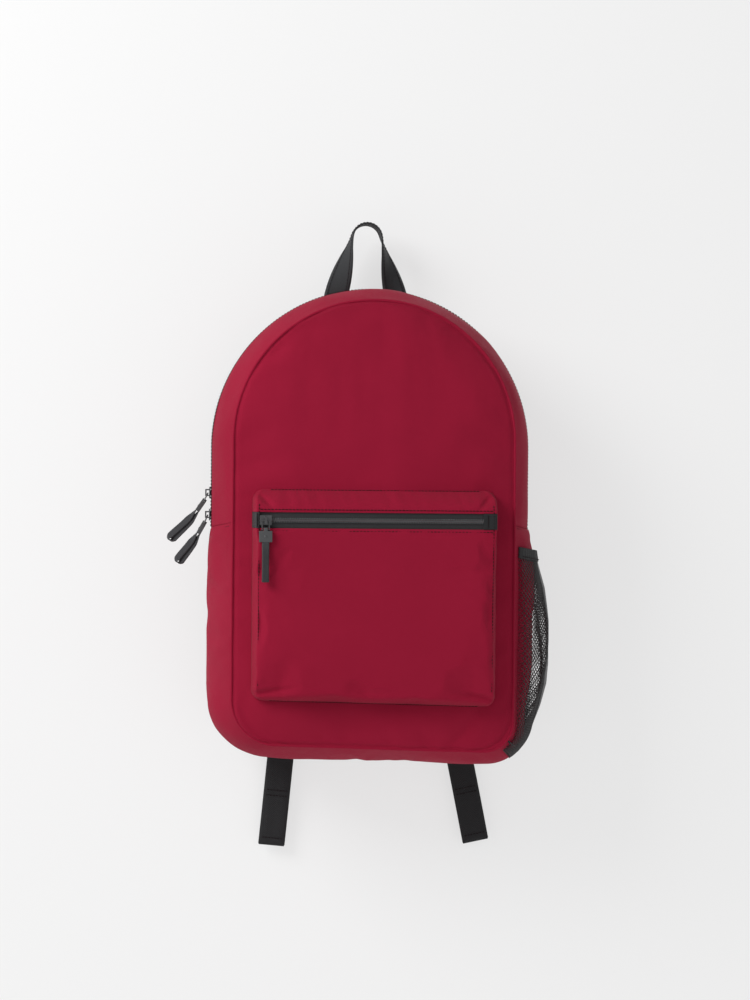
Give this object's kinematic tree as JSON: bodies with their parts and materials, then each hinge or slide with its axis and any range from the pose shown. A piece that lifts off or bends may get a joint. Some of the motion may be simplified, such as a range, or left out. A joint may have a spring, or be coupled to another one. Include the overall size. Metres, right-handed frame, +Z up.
{
  "type": "school backpack",
  "caption": "Arched school backpack with a zipped main compartment, a zipped front pocket, a net side pocket, a webbing grab handle and padded shoulder straps.",
  "frame": {"origin": "underside of the grab handle at the top of its loop, where a hook holds the bag", "axes": "+Z up, -Y towards the front pocket, +X towards the net side pocket, in metres"},
  "size_m": [0.348, 0.1708, 0.5862],
  "materials": {
    "red_fabric": "plain woven polyester",
    "black_webbing": "woven webbing",
    "strap_cover": "air mesh over foam",
    "foam": "closed-cell foam",
    "zip_tape": "woven zip tape",
    "zip_teeth": "nylon coil",
    "slider_metal": "dark enamel",
    "pull_cap_plastic": "moulded soft plastic",
    "pull_ribbon": "woven ribbon",
    "net": "knitted net",
    "net_hem": "elastic binding",
    "ladder_plastic": "moulded acetal",
    "lining": "thin woven lining",
    "binding": "grosgrain"
  },
  "bodies": {
    "root": {"anchor_wing_left": "red_fabric", "anchor_wing_right": "red_fabric", "back_foam_pad": "strap_cover", "back_panel": "red_fabric", "back_piping": "red_fabric", "bottom_gusset": "red_fabric", "front_panel_lower": "red_fabric", "front_piping_lower": "red_fabric", "grab_handle": "black_webbing", "gusset_back_strip": "red_fabric", "gusset_front_end_left": "red_fabric", "gusset_front_end_right": "red_fabric", "ladder_lock_left": "ladder_plastic", "ladder_lock_right": "ladder_plastic", "laptop_sleeve": "lining", "lock_loop_left": "black_webbing", "lock_loop_right": "black_webbing", "lower_webbing_left": "black_webbing", "lower_webbing_right": "black_webbing", "main_zip_tape_back": "zip_tape", "main_zip_tape_ends": "zip_tape", "main_zip_teeth_back": "zip_teeth", "main_zip_teeth_ends": "zip_teeth", "net_pocket": "net", "net_pocket_hem": "net_hem", "pocket_face": "red_fabric", "pocket_top_band": "red_fabric", "pocket_zip_tab_left": "zip_tape", "pocket_zip_tab_right": "zip_tape", "pocket_zip_tape_lower": "zip_tape", "pocket_zip_tape_upper": "zip_tape", "pocket_zip_teeth_lower": "zip_teeth", "pocket_zip_teeth_upper": "zip_teeth", "shoulder_strap_left": "strap_cover", "shoulder_strap_right": "strap_cover", "sleeve_binding": "binding", "strap_foam_left": "foam", "strap_foam_right": "foam", "strap_yoke": "black_webbing"},
    "front_flap": {"front_panel_upper": "red_fabric", "front_piping_upper": "red_fabric", "gusset_front_strip": "red_fabric", "main_zip_tape_front": "zip_tape", "main_zip_teeth_front": "zip_teeth"},
    "main_upper_slider": {"main_upper_slider": "slider_metal"},
    "main_upper_link": {"main_upper_pull_link": "slider_metal"},
    "main_upper_pull": {"main_upper_pull_cap": "pull_cap_plastic", "main_upper_pull_ribbon": "pull_ribbon"},
    "main_lower_slider": {"main_lower_slider": "slider_metal"},
    "main_lower_link": {"main_lower_pull_link": "slider_metal"},
    "main_lower_pull": {"main_lower_pull_cap": "pull_cap_plastic", "main_lower_pull_ribbon": "pull_ribbon"},
    "pocket_slider": {"pocket_slider": "slider_metal"},
    "pocket_link": {"pocket_pull_link": "slider_metal"},
    "pocket_pull": {"pocket_pull_cap": "pull_cap_plastic", "pocket_pull_ribbon": "pull_ribbon"},
    "tail_left": {"webbing_tail_left": "black_webbing"},
    "tail_right": {"webbing_tail_right": "black_webbing"}
  },
  "joints": [
    {"name": "front_opens", "type": "hinge", "parent": "root", "child": "front_flap", "pos_m": [0, -0.1085, -0.238], "axis": [1, 0, 0], "range_deg": [0, 80]},
    {"name": "main_upper_slider_slides", "type": "slide", "parent": "root", "child": "main_upper_slider", "axis": [0, 0, 1], "range_m": [0, 0.042]},
    {"name": "main_upper_link_turns", "type": "hinge", "parent": "main_upper_slider", "child": "main_upper_link", "pos_m": [-0.1477, -0.055, -0.2531], "axis": [0, -1, 0], "range_deg": [-80, 0]},
    {"name": "main_upper_pull_turns", "type": "hinge", "parent": "main_upper_link", "child": "main_upper_pull", "pos_m": [-0.15112, -0.055, -0.26011], "axis": [0, -1, 0], "range_deg": [-30, 0]},
    {"name": "main_lower_slider_slides", "type": "slide", "parent": "root", "child": "main_lower_slider", "axis": [0, 0, 1], "range_m": [-0.005, 0.006]},
    {"name": "main_lower_link_turns", "type": "hinge", "parent": "main_lower_slider", "child": "main_lower_link", "pos_m": [-0.1477, -0.055, -0.2731], "axis": [0, -1, 0], "range_deg": [0, 15]},
    {"name": "main_lower_pull_turns", "type": "hinge", "parent": "main_lower_link", "child": "main_lower_pull", "pos_m": [-0.15075, -0.055, -0.28028], "axis": [0, -1, 0], "range_deg": [0, 8]},
    {"name": "pocket_slider_slides", "type": "slide", "parent": "root", "child": "pocket_slider", "axis": [1, 0, 0], "range_m": [0, 0.186]},
    {"name": "pocket_link_turns", "type": "hinge", "parent": "pocket_slider", "child": "pocket_link", "pos_m": [-0.0985, -0.1362, -0.2771], "axis": [1, 0, 0], "range_deg": [-110, 0]},
    {"name": "pocket_pull_turns", "type": "hinge", "parent": "pocket_link", "child": "pocket_pull", "pos_m": [-0.0985, -0.13647, -0.2849], "axis": [1, 0, 0], "range_deg": [-30, 0]},
    {"name": "tail_left_swings", "type": "hinge", "parent": "root", "child": "tail_left", "pos_m": [-0.06791, 0.0214, -0.42413], "axis": [0, 1, 0], "range_deg": [-25, 25]},
    {"name": "tail_right_swings", "type": "hinge", "parent": "root", "child": "tail_right", "pos_m": [0.0788, 0.0214, -0.42354], "axis": [0, 1, 0], "range_deg": [-25, 25]}
  ]
}
